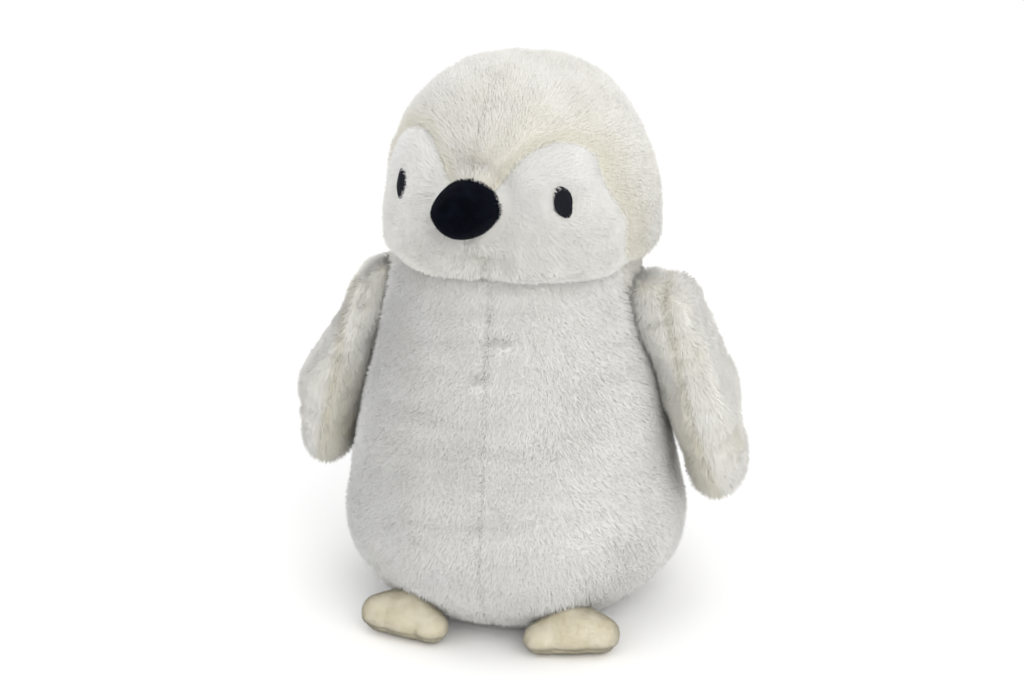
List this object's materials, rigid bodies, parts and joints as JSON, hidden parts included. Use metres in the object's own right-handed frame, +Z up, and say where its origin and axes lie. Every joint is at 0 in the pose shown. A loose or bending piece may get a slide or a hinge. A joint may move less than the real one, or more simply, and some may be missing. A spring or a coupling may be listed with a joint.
{
  "type": "plush penguin",
  "caption": "Standing plush penguin with a round fur body, a hooded head, a padded beak, sewn wings that lift, short feet and a tail.",
  "frame": {"origin": "centre of the flat base panel that the toy stands on", "axes": "+Z up through the crown, -Y out of the belly, +X towards the toy's own left side"},
  "size_m": [0.2224, 0.1952, 0.2795],
  "materials": {
    "white_fur": "long pile faux fur, combed down, neutral white",
    "ivory_fur": "long pile faux fur, combed down, warm ivory",
    "navy_velboa": "short dense pile cloth, very dark navy",
    "navy_floss": "satin stitch in twisted embroidery floss",
    "cream_velboa": "short dense pile cloth, warm cream",
    "fibre_fill": "loose polyester fibre",
    "cotton_cloth": "plain woven lining cloth",
    "sewing_thread": "doubled sewing thread",
    "pellets": "small plastic pellets, filled as one solid"
  },
  "bodies": {
    "torso": {"belly_left": "white_fur", "belly_right": "white_fur", "back_left": "ivory_fur", "back_right": "ivory_fur", "base_panel": "cream_velboa", "torso_stuffing": "fibre_fill", "pellet_bag": "cotton_cloth", "pellets": "pellets", "closing_thread": "sewing_thread"},
    "neck": {"neck_thread": "sewing_thread"},
    "head": {"hood_left": "ivory_fur", "hood_right": "ivory_fur", "face_left": "white_fur", "face_right": "white_fur", "head_stuffing": "fibre_fill", "beak_upper": "navy_velboa", "beak_lower": "navy_velboa", "beak_stuffing": "fibre_fill", "left_eye": "navy_floss", "right_eye": "navy_floss", "left_eye_backing": "cotton_cloth", "right_eye_backing": "cotton_cloth"},
    "left_shoulder": {"left_shoulder_tack": "sewing_thread"},
    "left_wing": {"left_wing_outer": "ivory_fur", "left_wing_inner": "ivory_fur", "left_wing_stuffing": "fibre_fill"},
    "right_shoulder": {"right_shoulder_tack": "sewing_thread"},
    "right_wing": {"right_wing_outer": "ivory_fur", "right_wing_inner": "ivory_fur", "right_wing_stuffing": "fibre_fill"},
    "left_foot": {"left_foot_top": "cream_velboa", "left_foot_sole": "cream_velboa", "left_foot_stuffing": "fibre_fill"},
    "right_foot": {"right_foot_top": "cream_velboa", "right_foot_sole": "cream_velboa", "right_foot_stuffing": "fibre_fill"},
    "tail": {"tail_top": "ivory_fur", "tail_under": "ivory_fur", "tail_stuffing": "fibre_fill"}
  },
  "joints": [
    {"name": "head_nod", "type": "hinge", "parent": "torso", "child": "neck", "pos_m": [0, 0, 0.154], "axis": [1, 0, 0], "range_deg": [-8, 8], "stiffness_Nm_per_rad": 0.9},
    {"name": "head_turn", "type": "hinge", "parent": "neck", "child": "head", "pos_m": [0, 0, 0.18], "axis": [0, 0, 1], "range_deg": [-15, 35], "stiffness_Nm_per_rad": 0.3},
    {"name": "left_wing_swing", "type": "hinge", "parent": "torso", "child": "left_shoulder", "pos_m": [0.07589, 0, 0.163], "axis": [-1, 0, 0], "range_deg": [-25, 25], "stiffness_Nm_per_rad": 0.08},
    {"name": "left_wing_raise", "type": "hinge", "parent": "left_shoulder", "child": "left_wing", "pos_m": [0.07589, 0, 0.163], "axis": [0, -1, 0], "range_deg": [0, 80], "stiffness_Nm_per_rad": 0.08},
    {"name": "right_wing_swing", "type": "hinge", "parent": "torso", "child": "right_shoulder", "pos_m": [-0.07589, 0, 0.163], "axis": [-1, 0, 0], "range_deg": [-25, 25], "stiffness_Nm_per_rad": 0.08},
    {"name": "right_wing_raise", "type": "hinge", "parent": "right_shoulder", "child": "right_wing", "pos_m": [-0.07589, 0, 0.163], "axis": [0, 1, 0], "range_deg": [0, 80], "stiffness_Nm_per_rad": 0.08},
    {"name": "left_foot_tilt", "type": "hinge", "parent": "torso", "child": "left_foot", "pos_m": [0.041, -0.05152, 0.0035], "axis": [-1, 0, 0], "range_deg": [-20, 3], "stiffness_Nm_per_rad": 0.1},
    {"name": "right_foot_tilt", "type": "hinge", "parent": "torso", "child": "right_foot", "pos_m": [-0.041, -0.05152, 0.0035], "axis": [-1, 0, 0], "range_deg": [-20, 3], "stiffness_Nm_per_rad": 0.1},
    {"name": "tail_lift", "type": "hinge", "parent": "torso", "child": "tail", "pos_m": [0, 0.08976, 0.032], "axis": [1, 0, 0], "range_deg": [-15, 25], "stiffness_Nm_per_rad": 0.05}
  ]
}
